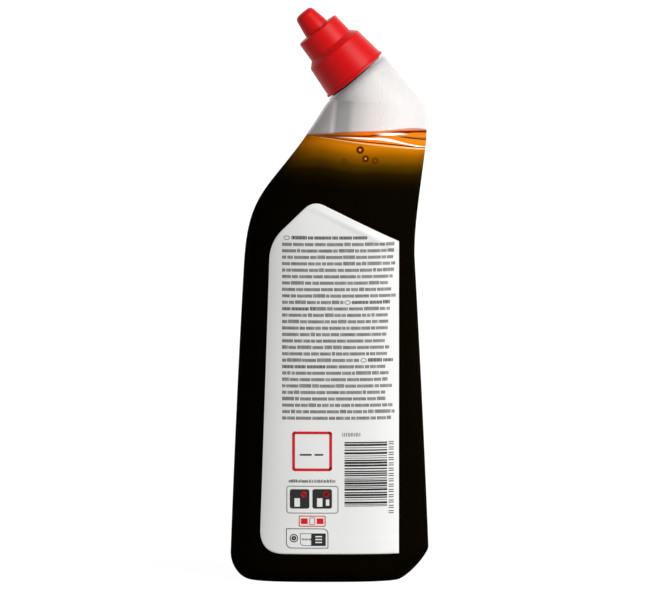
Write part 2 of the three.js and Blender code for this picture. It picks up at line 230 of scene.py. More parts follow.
neck_axis = Vector((-math.sin(neck_lean), 0, math.cos(neck_lean)))
neck_across = Vector((math.cos(neck_lean), 0, math.sin(neck_lean)))
rim_centre = Vector((rim_x, 0, rim_z))
crease_x = rim_x - (crease_height - rim_z) * math.tan(neck_lean)
crease_left = crease_x - column_radius / math.cos(neck_lean)
left_shoulder = [
    (waist_left_height, waist_left), (waist_left_height + 38.7, waist_left + 2.5),
    (crease_height - 45, crease_left - 25.5), (crease_height, crease_left + 1),
]
right_shoulder = [
    (waist_right_height, waist_right), (waist_right_height + 19, waist_right - 0.9),
    (knee_height - 15, knee_right), (knee_height, knee_right),
]
face_shoulder = [
    (shoulder_start, half_depth), (shoulder_start + 28, half_depth),
    (crease_height - 20, column_radius + 1.2), (crease_height, column_radius),
]


def lerp(start, end, share):
    return start + (end - start) * share


def smoothstep(value, low, high):
    share = min(max((value - low) / (high - low), 0), 1)
    return share * share * (3 - 2 * share)


def curve_at(points, height):
    """Place of a wall at a height, on a cubic curve whose points are (height, place)."""
    def on_curve(share, part):
        rest = 1 - share
        weights = (rest ** 3, 3 * rest * rest * share, 3 * rest * share * share, share ** 3)
        return sum(weight * point[part] for weight, point in zip(weights, points))
    low, high = 0.0, 1.0
    for _ in range(30):
        middle = (low + high) / 2
        if on_curve(middle, 0) < height:
            low = middle
        else:
            high = middle
    return on_curve(high, 1)


def corner_inset(corner, height):
    corner_height, reach, fullness = corner
    if height >= corner_height:
        return 0
    drop = 1 - height / corner_height
    return reach * (1 - (1 - drop ** fullness) ** (1 / fullness))


def left_wall(height):
    if height > waist_left_height:
        return curve_at(left_shoulder, height)
    share = height / waist_left_height
    return lerp(foot_left, waist_left, share * (0.75 + 0.25 * share))


def right_wall(height):
    if height > knee_height:
        return knee_right - knee_radius + math.sqrt(knee_radius ** 2 - (height - knee_height) ** 2)
    if height > waist_right_height:
        return curve_at(right_shoulder, height)
    share = height / waist_right_height
    return lerp(foot_right, waist_right, share * (0.8 + 0.2 * share))


def section(height, inset):
    """Middle, half width, half depth and power of the body's level oval at a height."""
    left = left_wall(height) + corner_inset(left_corner, height) + inset
    right = right_wall(height) - corner_inset(right_corner, height) - inset
    face = curve_at(face_shoulder, height) if height > shoulder_start else half_depth
    power = lerp(boxiness, 2, smoothstep(height, shoulder_start, crease_height))
    return (left + right) / 2, (right - left) / 2, face - corner_inset(face_corner, height) - inset, power


def turns(count=around):
    return [place / count * 2 * math.pi for place in range(count)]


def section_ring(height, inset, share=1.0, ring_height=None):
    middle, half_width, depth, power = section(height, inset)
    ring = []
    for angle in turns():
        cos, sin = math.cos(angle), math.sin(angle)
        ring.append(Vector((
            middle + share * half_width * math.copysign(abs(cos) ** (2 / power), cos),
            share * depth * math.copysign(abs(sin) ** (2 / power), sin),
            height if ring_height is None else ring_height,
        )))
    return ring


def on_neck(radius, angle, along):
    across = neck_across * (radius * math.cos(angle)) + Vector((0, radius * math.sin(angle), 0))
    return rim_centre + across + neck_axis * along


def neck_ring(radius, along):
    return [on_neck(radius, angle, along) for angle in turns()]


def crease_along(radius, top, angle):
    """Height on the leaning axis where a tube of this radius meets the level crease."""
    level = crease_height - rim_z - radius * math.cos(angle) * math.sin(neck_lean)
    return min(level / math.cos(neck_lean), top - crease_land)


def crease_ring(radius, top):
    return [on_neck(radius, angle, crease_along(radius, top, angle)) for angle in turns()]


def fillet_ring(turn):
    """One ring of the column's rounded shoulder, from its side, turn 0, to its top."""
    ring = []
    for angle in turns():
        size = min(column_round, column_top - crease_along(column_radius, column_top, angle))
        radius = column_radius - size * (1 - math.cos(turn))
        ring.append(on_neck(radius, angle, column_top - size * (1 - math.sin(turn))))
    return ring


def steps(count, start, end):
    return [lerp(start, end, (step + 1) / count) for step in range(count)]


section_heights = [
    *[right_corner[0] * share ** 2 for share in steps(22, 0, 1)],
    *steps(26, right_corner[0], shoulder_start),
    *steps(56, shoulder_start, crease_height - 3.2),
]


def base_rings(inset, thickness):
    """Push-up and standing face, from the middle outwards."""
    rings = []
    for share in steps(10, 0.04, standing_share):
        rise = thickness + push_up * (1 - (share / standing_share) ** 2)
        rings.append(section_ring(thickness, inset, share, rise))
    return [*rings, section_ring(thickness, inset)]


def add_piece(name, points, faces, smooth=True):
    """New mesh object from points in millimetres."""
    mesh = bpy.data.meshes.new(name)
    mesh.from_pydata([Vector(point) * mm for point in points], [], faces)
    mesh.validate()
    if smooth:
        mesh.shade_smooth()
    piece = bpy.data.objects.new(name, mesh)
    bpy.context.scene.collection.objects.link(piece)
    return piece


def skin(name, rings, start_middle=None, end_middle=None):
    """Closed skin over a stack of like rings, drawn in to a point at each end that has one."""
    count = len(rings[0])
    points = [point for ring in rings for point in ring]
    faces = []
    for ring in range(len(rings) - 1):
        for place in range(count):
            after = (place + 1) % count
            low, high = ring * count, (ring + 1) * count
            faces.append((low + place, low + after, high + after, high + place))
    for middle, ring, start in ((start_middle, 0, True), (end_middle, len(rings) - 1, False)):
        if middle is None:
            continue
        points.append(middle)
        for place in range(count):
            pair = (ring * count + place, ring * count + (place + 1) % count)
            faces.append((len(points) - 1, *(reversed(pair) if start else pair)))
    return add_piece(name, points, faces)


def bottle_rings():
    outer = [*base_rings(0, 0), *[section_ring(height, 0) for height in section_heights]]
    for ring in outer[12:]:
        ring[0] += Vector((seam_proud, 0, 0))
        ring[around // 2] -= Vector((seam_proud, 0, 0))
    inside_top, inside_radius = column_top - neck_floor, column_radius - wall
    crease = crease_ring(column_radius, column_top)
    inner_crease = crease_ring(inside_radius, inside_top)
    quarter = math.pi / 2
    outer += [crease, fillet_ring(0), *[fillet_ring(turn) for turn in steps(8, 0, quarter)]]
    ring_soft, foot_soft = stop_ring_soft, neck_foot_soft
    outer += [neck_ring(radius, along) for radius, along in (
        (stop_ring_radius + ring_soft, column_top), (stop_ring_radius, column_top + ring_soft),
        (stop_ring_radius, stop_ring_top - ring_soft), (stop_ring_radius - ring_soft, stop_ring_top),
        (neck_radius + foot_soft, stop_ring_top), (neck_radius, stop_ring_top + foot_soft),
    )]
    for turn in [0, *steps(5, 0, quarter)]:
        outer.append(neck_ring(neck_radius - lip_round * (1 - math.cos(turn)),
                               neck_top - lip_round * (1 - math.sin(turn))))
    for turn in [0, *steps(5, 0, quarter)]:
        outer.append(neck_ring(bore_radius + lip_round * (1 - math.sin(turn)),
                               neck_top - lip_round * (1 - math.cos(turn))))
    inner_heights = [height for height in section_heights if height > base_thickness]
    inner = [neck_ring(bore_radius, inside_top + 0.5), neck_ring(bore_radius + 0.5, inside_top)]
    inner += [neck_ring(inside_radius - 0.4, inside_top), inner_crease]
    inner += [section_ring(height, wall) for height in reversed(inner_heights)]
    return [*outer, *inner, *reversed(base_rings(wall, base_thickness))]


bottle = skin(
    "clear_bottle", bottle_rings(), Vector((section(0, 0)[0], 0, push_up)),
    Vector((section(base_thickness, wall)[0], 0, push_up + base_thickness)),
)


def surface_marks(x, y, z):
    """Places near the liquid's surface as it is seen from the label side, where down is lower and nearer."""
    down = ((fill_level + band_rise) * mm - z - y * math.tan(camera_rise)) / mm
    share = (x / mm - band_left) / band_length
    share = share.maths("MAXIMUM", share, 0)
    near = 1 - share.maths("MINIMUM", share, 1)
    return down, share, near * near * 2.1


clear, tree = new_finish("clear_pet")
where, x, y, z = place_on_object(tree)
facing = Value.node(tree, "LayerWeight", inputs={"Blend": 0.3}, output="Facing")
along = (x - rim_x * mm) * neck_axis.x + (z - rim_z * mm) * neck_axis.z
# Painted shade of the clear head: a grey ramp across it, dark grey to the left with a painted light streak, white
# to the right.
slanted = (x - (z - 0.222) * 0.1) / mm
head_painted_shade = Value.node(tree, "ValToRGB", {"stops": [
    (0.0, srgb(184, 186, 188)), (0.17, srgb(198, 199, 201)), (0.21, srgb(236, 237, 238)),
    (0.25, srgb(172, 173, 174)), (0.36, srgb(168, 169, 170)), (0.43, srgb(214, 214, 214)),
    (0.6, srgb(238, 236, 234)), (1.0, srgb(255, 255, 255)),
]}, {"Fac": (slanted + 8) / 46})
above_crease = z.smooth((crease_height - 0.2) * mm, (crease_height + 0.3) * mm)
off_crease = (z - crease_height * mm) / mm
# Painted highlight: a faint light line along the level crease, fading out to the left.
crease_highlight = 1 - off_crease.maths("ABSOLUTE", off_crease).smooth(0.3, 0.9)
# Painted shadow of the cap on the top of the neck column.
cap_shadow = along.smooth((column_top - 4.5) * mm, (column_top + 0.2) * mm)
# Painted shade on the column: darker to the left, light to the right.
column_painted_shade = x.smooth(0 * mm, 26 * mm).blend(srgb(190, 190, 191), srgb(252, 250, 249))
shell_painted_shade = above_crease.blend(head_painted_shade, (cap_shadow * 0.65).blend(column_painted_shade, srgb(112, 118, 117)))
shell_painted_shade = (crease_highlight * x.smooth(4 * mm, 20 * mm) * 0.3).blend(shell_painted_shade, srgb(255, 255, 254))
in_cap = along.smooth((column_top + 0.15) * mm, (column_top + 0.35) * mm)
above_ring = along.smooth((stop_ring_top + 0.2) * mm, (stop_ring_top + 1.2) * mm)
# Painted shadow: the stop ring under the cap's rim is dark, darkest to the left.
ring_painted_shadow = x.smooth(8 * mm, 32 * mm).blend(srgb(12, 28, 23), srgb(112, 120, 118))
# Painted shade at the glancing edges of the shell.
edge = facing.smooth(0.62, 0.95)
colour = (edge * 0.85).blend(shell_painted_shade, srgb(176, 182, 180))
colour = (in_cap * (1 - above_ring)).blend(colour, ring_painted_shadow)
down, share, back_edge = surface_marks(x, y, z)
filled = (down - back_edge).smooth(-0.2, 0.15)
# The shell is more solid towards the left and at its edges, which deepens the painted shade there.
right = x.smooth(0 * mm, 40 * mm)
open_alpha = edge * 0.4 + 0.52 - right * 0.4
# The painted shadow ring is made more solid; the neck inside the cap above it is made clearer.
ring_alpha = (in_cap * (1 - above_ring)) * 0.5 - in_cap * above_ring * 0.15
shell = Value.node(tree, "BsdfPrincipled", inputs={
    "Base Color": colour, "Alpha": open_alpha + ring_alpha, "Roughness": 0.28, "IOR": 1.5,
    "Specular IOR Level": 0.18,
})
wet = Value.node(tree, "BsdfPrincipled", inputs={
    "Base Color": (0.01, 0.008, 0.004, 1), "Alpha": 0.015, "Roughness": 0.1, "IOR": 1.5,
    "Specular IOR Level": 0.1,
})
both = Value.node(tree, "MixShader", inputs={0: filled, 1: shell, 2: wet})
Value.node(tree, "OutputMaterial", inputs={"Surface": both})
bottle.data.materials.append(clear)
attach(bottle, "bottle")
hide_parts("bottle")

# The filling is a clear dark amber liquid. Its colour is painted light and shade by depth: orange at its free
# surface, amber just under it, where light still gets through, and near black lower down. It wets the wall in a
# rim.
film = 0.15
rim_height, rim_width = 1.7, 2.4
end_rise = 2.3


def raised(ring, share):
    """A ring of the rim, lifted further towards the right end, where the film climbs the round wall."""
    rise = [end_rise * share * smoothstep(point.x, 20, 43) for point in ring]
    return [point + Vector((0, 0, lift)) for point, lift in zip(ring, rise)]


def liquid_rings():
    heights = [height for height in section_heights if film < height < fill_level - 1]
    rings = [*base_rings(film, film), *[section_ring(height, film) for height in heights]]
    top = fill_level + rim_height
    rings += [section_ring(height, film) for height in (fill_level - 0.6, fill_level)]
    rings += [raised(section_ring(fill_level + share * rim_height, film), share) for share in (0.35, 0.7, 1)]
    for step in range(1, 9):
        inset = film + rim_width * (step / 8) ** 1.2
        height = fill_level + rim_height * (1 - step / 8) ** 2
        rings.append(raised(section_ring(top, inset, 1, height), (1 - step / 8) ** 2))
    rings += [section_ring(top, film + rim_width, share, fill_level) for share in (0.8, 0.55, 0.3, 0.1)]
    return rings


liquid = skin(
    "amber_cleaner", liquid_rings(), Vector((section(film, film)[0], 0, push_up + film)),
    Vector((section(fill_level, film)[0], 0, fill_level)),
)
amber, tree = new_finish("amber_liquid")
where, x, y, z = place_on_object(tree)


def line(value, middle, half):
    """1 on a line at middle, falling to 0 at half its width to each side."""
    away = (value - middle).maths("ABSOLUTE", value - middle)
    return 1 - away.smooth(half * 0.45, half)


down, share, back_edge = surface_marks(x, y, z)
near = 1 - share.maths("MINIMUM", share, 1)
front_edge = 8.9 - (near ** 1.7) * 6.3
across = (down - back_edge) / (front_edge - back_edge)
wave_inputs = {"Vector": where, "Scale": 40.0, "Detail": 2.0}
wave = Value.node(tree, "TexNoise", {"noise_dimensions": "2D"}, wave_inputs)
across = across + (wave - 0.5) * 0.06
cloud = Value.node(tree, "TexNoise", inputs={"Vector": where, "Scale": 45.0, "Detail": 2.0})
# The painted depth shade has random cloud in it and is darker towards the left end.
depth = down + (cloud - 0.5) * 2.5 + (1 - x.smooth(-8 * mm, 16 * mm)) * 3
shade = Value.node(tree, "ValToRGB", {"stops": [
    (0.0, srgb(176, 102, 3)), (0.28, srgb(214, 126, 6)), (0.42, srgb(148, 90, 1)), (0.58, srgb(82, 54, 2)),
    (0.72, srgb(36, 24, 1)), (0.86, srgb(17, 11, 1)), (1.0, srgb(9, 6, 1)),
]}, {"Fac": depth / 30})
# Bubbles at the front wall are painted: a painted dark rim round each, and a painted highlight in the middle of
# some.
bubbles = (
    (14.6, 9.7, 1.65, 1, 0.9), (17.2, 13.9, 1.5, 0.9, 0.75), (7.0, 14.9, 1.2, 0.4, 0), (21.8, 14.9, 1.5, 0.55, 0),
)
for bubble_x, bubble_down, size, strength, glow in bubbles:
    gap_x, gap_down = x / mm - bubble_x, down - bubble_down
    away = (gap_x * gap_x + gap_down * gap_down) ** 0.5
    shade = (line(away, size * 0.75, size * 0.5) * strength * 0.95).blend(shade, srgb(70, 20, 2))
    shade = ((1 - away.smooth(0.15, size * 0.55)) * glow).blend(shade, srgb(240, 160, 84))
# The band at the top is a painted view of the rippled free surface: orange, darker to the left, with painted
# glints, painted dark lines and a spear of light and shade on the ripples, and a painted highlight along its front
# edge.
orange = share.smooth(0.1, 0.6).blend(srgb(120, 62, 14), srgb(236, 118, 20))
glint_top = line(across, 0.2, 0.11) * share.smooth(0.54, 0.66) * (1 - share.smooth(0.76, 0.86))
glint_low = line(across, 0.56 + share.smooth(0.55, 1.02) * 0.35, 0.11 - share.smooth(0.65, 0.85) * 0.07)
glint_low = glint_low * share.smooth(0.18, 0.42)
brown_line = line(across, 0.34 - share.smooth(0.45, 0.8) * 0.27, 0.085) * share.smooth(0.03, 0.12)
low_line = line(across, 0.86 + share.smooth(0.6, 1) * 0.08, 0.05) * share.smooth(0.12, 0.3)
spear = line(across, 0.38 + share.smooth(0.7, 1) * 0.06, 0.1) * share.smooth(0.72, 0.8)
spear_edge = line(across, 0.37 + share.smooth(0.7, 1) * 0.12, 0.045) * share.smooth(0.76, 0.84)
band = orange
for mask, colour in (
    (brown_line, srgb(104, 30, 5)), (glint_top, srgb(255, 250, 242)), (spear * 0.9, srgb(142, 104, 36)),
    (spear_edge, srgb(40, 30, 22)), (glint_low, srgb(255, 251, 244)), (low_line, srgb(74, 18, 5)),
):
    band = mask.blend(band, colour)
below_band = across.smooth(0.97, 1.0)
colour = below_band.blend(band, shade)
front_edge_highlight = line(across, 1.0, 0.055) * share.smooth(0.0, 0.08) * 0.85
colour = front_edge_highlight.blend(colour, srgb(255, 206, 158))
# Painted glow: Emission Color stands in for light coming through near the surface, and brightens the painted
# glints.
lit_through = (1 - below_band * 0.75) * (1 - depth.smooth(9, 26)) * 0.42
lit_through = lit_through + (glint_top + glint_low) * (1 - below_band) * 0.4
surface(tree, {
    "Base Color": colour, "Roughness": 0.2, "IOR": 1.34, "Specular IOR Level": 0.0,
    "Emission Color": lit_through.blend((0, 0, 0, 1), colour), "Emission Strength": 1.0,
})
liquid.data.materials.append(amber)
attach(liquid, "bottle")
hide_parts("cleaning_liquid")

# The spout insert is moulded in natural polyethylene and pressed into the bore. Its flange sits
# on the lip, and its cone ends in the small hole that makes the jet.
clearance = 0.3
pin_radius, pin_depth, spout_top = 1.2, 2.1, 36.0
insert_flange, plug_depth, plug_radius, insert_bore, flange_radius = 1.2, 7, 7.7, 6.6, 10.7
cone_foot, cone_shoulder, nozzle_foot, nozzle_tip = (8.5, 23.8), (4.2, 26.4), (3.1, 25.3), 2.55
cone_base_radius, cone_inside, hole_length = 9.2, (7.4, 22.7), 3.5
insert_seat = neck_top + clearance
flange_top = insert_seat + insert_flange


def rounded(corners, closed=False, fineness=6):
    """Profile from corners (radius, height, round), where a round corner becomes a short curve."""
    points = []
    count = len(corners)
    for place, (radius, height, *round_size) in enumerate(corners):
        here = Vector((radius, height))
        if not round_size:
            points.append(here)
            continue
        before = Vector(corners[(place - 1) % count][:2])
        after = Vector(corners[(place + 1) % count][:2])
        start = here + (before - here).normalized() * round_size[0]
        end = here + (after - here).normalized() * round_size[0]
        for step in range(fineness + 1):
            share = step / fineness
            points.append(start.lerp(here, share).lerp(here.lerp(end, share), share))
    return points + points[:1] if closed else points


def turned(name, profile, count=around):
    """Part turned about the leaning neck axis from (radius, height) points."""
    on_axis = [point.x < 1e-6 for point in (profile[0], profile[-1])]
    inner = profile[on_axis[0]:len(profile) - on_axis[1]]
    rings = [[on_neck(point.x, angle, point.y) for angle in turns(count)] for point in inner]
    tips = zip((profile[0], profile[-1]), on_axis)
    ends = [on_neck(0, 0, point.y) if flag else None for point, flag in tips]
    return skin(name, rings, *ends)


hole_radius = pin_radius + clearance
insert = turned("spout_insert", rounded([
    (insert_bore, neck_top - plug_depth, 0.3), (plug_radius, neck_top - plug_depth, 0.3),
    (plug_radius, insert_seat, 0.2), (flange_radius, insert_seat, 0.25), (flange_radius, flange_top, 0.35),
    (cone_base_radius, flange_top, 0.3), (*cone_foot, 1.0), (*cone_shoulder, 0.9), (nozzle_tip, spout_top, 0.5),
    (hole_radius, spout_top, 0.3), (hole_radius, spout_top - hole_length, 0.3), (*nozzle_foot, 0.6),
    (*cone_inside, 1.0), (insert_bore, insert_seat, 0.3),
], closed=True), 128)
natural, tree = new_finish("natural_polyethylene")
where, x, y, z = place_on_object(tree)
grain = Value.node(tree, "TexNoise", inputs={"Vector": where, "Scale": 900.0, "Detail": 3.0})
tint = Value.node(tree, "TexNoise", inputs={"Vector": where, "Scale": 80.0, "Detail": 2.0})
bump = Value.node(tree, "Bump", inputs={"Height": grain, "Strength": 0.12, "Distance": 0.0002})
surface(tree, {
    "Base Color": tint.blend(srgb(226, 224, 216), srgb(240, 239, 234)),
    "Roughness": grain * 0.12 + 0.34, "Normal": bump, "Subsurface Weight": 0.1, "Subsurface Scale": 0.002,
})
insert.data.materials.append(natural)
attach(insert, "bottle")
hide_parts("nozzle_insert")

# The screw thread stands on the neck: a rounded rib that winds up it and fades out at each end.
thread_pitch, thread_depth, thread_low = 4.2, 0.85, 4.5


def thread(name, radius, depth, low, turns_up, start_angle=0.0, count=110):
    """Rib wound on the neck axis; a negative depth makes it stand inwards."""
    section_shape = [(-0.15, -1.0), (0.55, -0.75), (1.0, -0.3), (1.0, 0.3), (0.55, 0.75), (-0.15, 1.0)]
    rings = []
    total = int(turns_up * count)
    for step in range(total + 1):
        angle = start_angle + step / count * 2 * math.pi
        along = low + step / count * thread_pitch
        fade = min(1, step / 12, (total - step) / 12)
        ring = []
        for out, up in section_shape:
            reach = radius + depth * (out if out < 0 else out * fade)
            ring.append(on_neck(reach, angle, along + up * (0.35 + 0.65 * fade)))
        rings.append(ring if depth < 0 else ring[::-1])
    middles = [sum(ring, Vector()) / len(ring) for ring in (rings[0], rings[-1])]
    return skin(name, rings, *middles)


neck_thread = thread("neck_thread", neck_radius, thread_depth, thread_low, 1.6)
neck_thread.data.materials.append(clear)
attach(neck_thread, "bottle")

# The cap is moulded in one piece in red polypropylene with a fine satin grain: an outer skirt to
# squeeze, an inner threaded skirt, a middle step, and a hollow tip with the pin that seals the hole.
cap_height, cap_roof = 38.9, 1.3
skirt_foot, skirt_hem_top, skirt_top, cone_top, middle_top, tip_flare_top = -0.25, 0.95, 15.5, 18.0, 28.2, 30.3
hem_radius, groove_radius, skirt_radius, skirt_top_radius, skirt_inside = 16.8, 16.05, 16.16, 14.6, 14.95
cone_top_radius, middle_foot_radius, middle_radius = 11.9, 11.75, 11.1
tip_foot_radius, tip_flare_radius, tip_radius = 6.4, 6.25, 4.7
tip_inside, tip_inside_top, roof_underside = 5.15, 3.5, 26.9
plug_skirt, thread_skirt, thread_skirt_outside, thread_skirt_foot, skirt_roof = 10.6, 11.1, 12.1, 2.0, 14.2
skirt_roof_radius = 13.4
cap_seat = flange_top + clearance

cap = turned("red_cap", rounded([
    (0, spout_top - pin_depth), (pin_radius, spout_top - pin_depth, 0.5),
    (pin_radius, cap_height - cap_roof, 0.4), (tip_inside_top, cap_height - cap_roof, 0.8),
    (tip_inside, tip_flare_top, 0.8), (tip_inside, roof_underside, 0.3), (9.9, roof_underside, 0.8),
    (plug_skirt, cap_seat + 0.8, 0.2), (plug_skirt, cap_seat, 0.15), (thread_skirt, cap_seat, 0.15),
    (thread_skirt, thread_skirt_foot, 0.2), (thread_skirt_outside, thread_skirt_foot, 0.2),
    (thread_skirt_outside, skirt_roof, 0.3), (skirt_roof_radius, skirt_roof, 0.3),
    (skirt_inside, skirt_foot, 0.12), (hem_radius, skirt_foot, 0.3), (hem_radius, skirt_hem_top, 0.35),
    (groove_radius, skirt_hem_top + 0.1, 0.12), (groove_radius, skirt_hem_top + 0.5, 0.12),
    (skirt_radius, skirt_hem_top + 0.65, 0.1), (skirt_top_radius, skirt_top, 0.4),
    (cone_top_radius, cone_top, 0.25), (middle_foot_radius, cone_top + 0.4, 0.2), (middle_radius, middle_top, 0.9),
    (tip_foot_radius, middle_top - 0.05, 0.3), (tip_flare_radius, tip_flare_top, 1.2),
    (tip_radius, cap_height, 2.3), (0, cap_height),
]))
red, tree = new_finish("red_polypropylene")
where, x, y, z = place_on_object(tree)
grain = Value.node(tree, "TexNoise", inputs={"Vector": where, "Scale": 1400.0, "Detail": 3.0})
flow = Value.node(tree, "TexNoise", inputs={"Vector": where, "Scale": 60.0, "Detail": 2.0})
bump = Value.node(tree, "Bump", inputs={"Height": grain, "Strength": 0.1, "Distance": 0.00015})
surface(tree, {
    "Base Color": flow.blend(srgb(208, 4, 8), srgb(218, 7, 11)), "Roughness": grain * 0.1 + 0.38,
    "Normal": bump, "Specular IOR Level": 0.19,
})
cap.data.materials.append(red)
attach(cap, "cap")
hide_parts("cap")

cap_thread = thread("cap_thread", thread_skirt, -0.75, thread_low + thread_pitch / 2, 1.4, 0.6)
cap_thread.data.materials.append(red)
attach(cap_thread, "cap")

# The back label is a white film stuck to the flat of the bottle. A soft crease runs along its
# slanted top edge, where the film doesn't quite follow the shoulder.
label_bottom, label_corner, label_right, label_right_top = 14.4, 11, 33.2, 164.3
label_left_bottom, label_left_top = -33.2, -28.8
label_knee_height, label_knee_round = 164.1, 9
label_apex, label_apex_round = (-7.8, 184.4), 6
label_gap, label_thickness = 0.12, 0.16


def spaced(points, count):
    """Points at even distances along a chain of points."""
    lengths = [0]
    for before, after in zip(points, points[1:]):
        lengths.append(lengths[-1] + (after - before).length)
    made, part = [], 0
    for step in range(count + 1):
        goal = lengths[-1] * step / count
        while part < len(points) - 2 and lengths[part + 1] < goal:
            part += 1
        share = (goal - lengths[part]) / max(lengths[part + 1] - lengths[part], 1e-9)
        made.append(points[part].lerp(points[part + 1], share))
    return made


def bend(start, corner, end, count=16):
    start, corner, end = Vector(start), Vector(corner), Vector(end)
    return [start.lerp(corner, step / count).lerp(corner.lerp(end, step / count), step / count)
            for step in range(count + 1)]


def face_depth(x, height):
    middle, half_width, depth, power = section(height, 0)
    share = min(abs(x - middle) / half_width, 1)
    return -depth * (1 - share ** power) ** (1 / power)


knee, apex = Vector((label_left_top, label_knee_height)), Vector(label_apex)
right_top = Vector((label_right, label_right_top))


def towards(corner, other, distance):
    return corner + (other - corner).normalized() * distance


label_columns, label_rows = 96, 220
label_top = spaced([
    *bend(knee - Vector((0, label_knee_round)), knee, towards(knee, apex, label_knee_round)),
    *bend(towards(apex, knee, label_apex_round), apex, towards(apex, right_top, label_apex_round)), right_top,
], label_columns)
label_foot = spaced([
    *bend((label_left_bottom, label_bottom + label_corner), (label_left_bottom, label_bottom),
          (label_left_bottom + label_corner, label_bottom)),
    Vector((label_right, label_bottom)),
], label_columns)
slant = (right_top - apex).normalized()


def crease_lift(place):
    """How far the film stands off in the soft fold along its slanted top edge, and near its foot."""
    along = (place - apex).dot(slant)
    below_edge = (apex - place).y * slant.x - (apex - place).x * slant.y
    fold = math.exp(-((below_edge - 3.3) / (1.3 + 0.01 * along)) ** 2)
    foot = math.exp(-((place.y - 20.3) / 1.8) ** 2) * smoothstep(place.x, -26, -8)
    return (0.3 + 0.2 * smoothstep(along, 8, 30)) * fold * smoothstep(along, -9, 6) + 0.1 * foot


def label_grid():
    points, faces = [], []
    for layer in (label_gap + label_thickness, label_gap):
        for foot, top in zip(label_foot, label_top):
            for row in range(label_rows + 1):
                place = foot.lerp(top, row / label_rows)
                depth = face_depth(place.x, place.y) - layer - crease_lift(place)
                points.append(Vector((place.x, depth, place.y)))
    side = (label_columns + 1) * (label_rows + 1)

    def at(layer, column, row):
        return layer * side + column * (label_rows + 1) + row

    for column in range(label_columns):
        for row in range(label_rows):
            steps_round = ((0, 0), (1, 0), (1, 1), (0, 1))
            front = [at(0, column + across, row + up) for across, up in steps_round]
            faces.append(front)
            faces.append([side + front[place] for place in (0, 3, 2, 1)])
        faces.append((at(1, column, 0), at(1, column + 1, 0), at(0, column + 1, 0), at(0, column, 0)))
        faces.append((at(0, column, label_rows), at(0, column + 1, label_rows),
                      at(1, column + 1, label_rows), at(1, column, label_rows)))
    for row in range(label_rows):
        faces.append((at(0, 0, row), at(0, 0, row + 1), at(1, 0, row + 1), at(1, 0, row)))
        faces.append((at(1, label_columns, row), at(1, label_columns, row + 1),
                      at(0, label_columns, row + 1), at(0, label_columns, row)))
    return points, faces


label = add_piece("label_film", *label_grid())
film_white, tree = new_finish("white_film")
where, x, y, z = place_on_object(tree)
fibre = Value.node(tree, "TexNoise", inputs={"Vector": where, "Scale": 1200.0, "Detail": 2.0})
ripple = Value.node(tree, "TexNoise", inputs={"Vector": where, "Scale": 26.0, "Detail": 1.0})
relief = ripple * 0.8 + fibre * 0.05
bump = Value.node(tree, "Bump", inputs={"Height": relief, "Strength": 0.25, "Distance": 0.001})
surface(tree, {
    "Base Color": ripple.blend(srgb(236, 236, 233), srgb(243, 243, 241)), "Roughness": fibre * 0.1 + 0.42,
    "Normal": bump, "Specular IOR Level": 0.35,
})
label.data.materials.append(film_white)
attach(label, "bottle")
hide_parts("back_label")

# The print is ink on the film. Lines of small type are plain rows of short strokes that spell
# nothing, the striped panel is made of chance bars, and the small signs are plain shapes.
ink_lift = 0.05
middle_px, foot_px, film_pixel = 329.6, 578.6, 0.4822
type_line, type_lines, first_line_px = 6.41, 29, 238.5
small_height, tall_height = 1.5, 1.7
random.seed(7)


def photo_place(px, py):
    """x and height on the label for a pixel of the photo, allowing for the view from above."""
    x = (px - middle_px) * pixel / mm
    height = (foot_px - py) * film_pixel
    for _ in range(3):
        height = (foot_px - py) * film_pixel - face_depth(x, height) * math.tan(camera_rise)
    return Vector((x, height))


class Ink:
    """Strokes of one ink, laid on the label and bent to it."""

    def __init__(self, lift=ink_lift):
        self.points, self.faces, self.lift = [], [], lift

    def patch(self, low_left, low_right, high_right, high_left):
        """Four-cornered patch, split so that each part is about a millimetre across."""
        start = len(self.points)
        span = max(1, round((low_right - low_left).length))
        rows = max(1, round((high_left - low_left).length))
        for row in range(rows + 1):
            for column in range(span + 1):
                share = column / span
                place = low_left.lerp(low_right, share).lerp(high_left.lerp(high_right, share), row / rows)
                lift = label_gap + label_thickness + self.lift + crease_lift(place)
                self.points.append(Vector((place.x, face_depth(place.x, place.y) - lift, place.y)))
        for row in range(rows):
            for column in range(span):
                corner = start + row * (span + 1) + column
                self.faces.append((corner, corner + 1, corner + span + 2, corner + span + 1))

    def bar(self, left, low, width, height):
        corners = ((left, low), (left + width, low), (left + width, low + height), (left, low + height))
        self.patch(*[Vector(corner) for corner in corners])

    def chain(self, path, line):
        """Stroke of one width round a closed chain of points."""
        path = [Vector(point) for point in path]
        for here, after in zip(path, path[1:] + path[:1]):
            if (after - here).length < 1e-6:
                continue
            side = Vector((here.y - after.y, after.x - here.x)).normalized() * line / 2
            ahead = (after - here).normalized() * line / 4
            self.patch(here - side - ahead, after - side + ahead, after + side + ahead, here + side - ahead)

    def add(self, name, material):
        piece = add_piece(name, self.points, self.faces)
        piece.data.materials.append(material)
        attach(piece, "bottle")


def round_box(left, low, right, high, rounds):
    """Outline of a box whose corners, from the low left one anticlockwise, are rounded."""
    path = []
    corners = ((left, low), (right, low), (right, high), (left, high))
    for (x, y), size, start in zip(corners, rounds, (180, 270, 0, 90)):
        middle = (x + size * (1 if x == left else -1), y + size * (1 if y == low else -1))
        for step in range(6):
            angle = math.radians(start + step * 18)
            path.append((middle[0] + size * math.cos(angle), middle[1] + size * math.sin(angle)))
    return path


def circle(middle, radius, count=20):
    angles = [2 * math.pi * step / count for step in range(count + 1)]
    return [(middle[0] + radius * math.cos(angle), middle[1] + radius * math.sin(angle)) for angle in angles]


